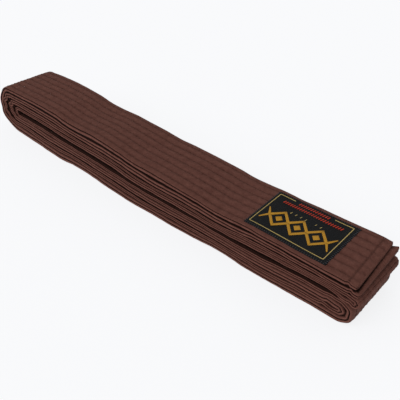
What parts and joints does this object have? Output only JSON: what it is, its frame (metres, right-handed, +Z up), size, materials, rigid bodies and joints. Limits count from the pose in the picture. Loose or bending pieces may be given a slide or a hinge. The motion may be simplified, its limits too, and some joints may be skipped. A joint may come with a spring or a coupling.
{
  "type": "martial arts belt",
  "caption": "Quilted cotton martial arts belt folded flat into a layered hank, with two free ends on top that lift and a woven label sewn near one tip.",
  "frame": {"origin": "centre of the hank's underside", "axes": "+X along the hank from the fold where all the layers turn back to the two free ends, +Y away from the belt's closed seam, +Z up"},
  "size_m": [0.306, 0.04, 0.0389],
  "materials": {
    "cover": "matt brown cotton twill",
    "core": "undyed cotton interlining",
    "thread": "brown sewing thread",
    "label": "black woven satin with a gold border and ornament",
    "label_thread": "black sewing thread"
  },
  "bodies": {
    "hank": {"cover_hank": "cover", "core_ply_face_hank": "core", "core_ply_middle_hank": "core", "core_ply_back_hank": "core", "quilt_thread_1_hank": "thread", "quilt_thread_2_hank": "thread", "quilt_thread_3_hank": "thread", "quilt_thread_4_hank": "thread", "quilt_thread_5_hank": "thread", "quilt_thread_6_hank": "thread", "quilt_thread_7_hank": "thread"},
    "second_end": {"cover_second_end": "cover", "core_ply_face_second_end": "core", "core_ply_middle_second_end": "core", "core_ply_back_second_end": "core", "quilt_thread_1_second_end": "thread", "quilt_thread_2_second_end": "thread", "quilt_thread_3_second_end": "thread", "quilt_thread_4_second_end": "thread", "quilt_thread_5_second_end": "thread", "quilt_thread_6_second_end": "thread", "quilt_thread_7_second_end": "thread", "hem_thread_second_end": "thread", "cover_label_root": "cover", "core_ply_face_label_root": "core", "core_ply_middle_label_root": "core", "core_ply_back_label_root": "core", "quilt_bobbin_thread_1_label_root": "thread", "quilt_bobbin_thread_2_label_root": "thread", "quilt_bobbin_thread_3_label_root": "thread", "quilt_bobbin_thread_4_label_root": "thread", "quilt_bobbin_thread_5_label_root": "thread", "quilt_bobbin_thread_6_label_root": "thread", "quilt_bobbin_thread_7_label_root": "thread"},
    "label_end": {"cover_label_end": "cover", "core_ply_face_label_end": "core", "core_ply_middle_label_end": "core", "core_ply_back_label_end": "core", "quilt_thread_1_label_end": "thread", "quilt_thread_2_label_end": "thread", "quilt_thread_3_label_end": "thread", "quilt_thread_4_label_end": "thread", "quilt_thread_5_label_end": "thread", "quilt_thread_6_label_end": "thread", "quilt_thread_7_label_end": "thread", "quilt_bobbin_thread_1_label_end": "thread", "quilt_bobbin_thread_2_label_end": "thread", "quilt_bobbin_thread_3_label_end": "thread", "quilt_bobbin_thread_4_label_end": "thread", "quilt_bobbin_thread_5_label_end": "thread", "quilt_bobbin_thread_6_label_end": "thread", "quilt_bobbin_thread_7_label_end": "thread", "hem_thread_label_end": "thread", "woven_label": "label", "label_thread_near": "label_thread", "label_thread_far": "label_thread", "label_thread_start": "label_thread", "label_thread_finish": "label_thread"}
  },
  "joints": [
    {"name": "first_crease", "type": "hinge", "parent": "hank", "child": "second_end", "pos_m": [-0.12965, 0, 0.03905], "axis": [0, -1, 0], "range_deg": [0, 60]},
    {"name": "second_crease", "type": "hinge", "parent": "second_end", "child": "label_end", "pos_m": [-0.10565, 0, 0.03905], "axis": [0, -1, 0], "range_deg": [0, 120]}
  ]
}
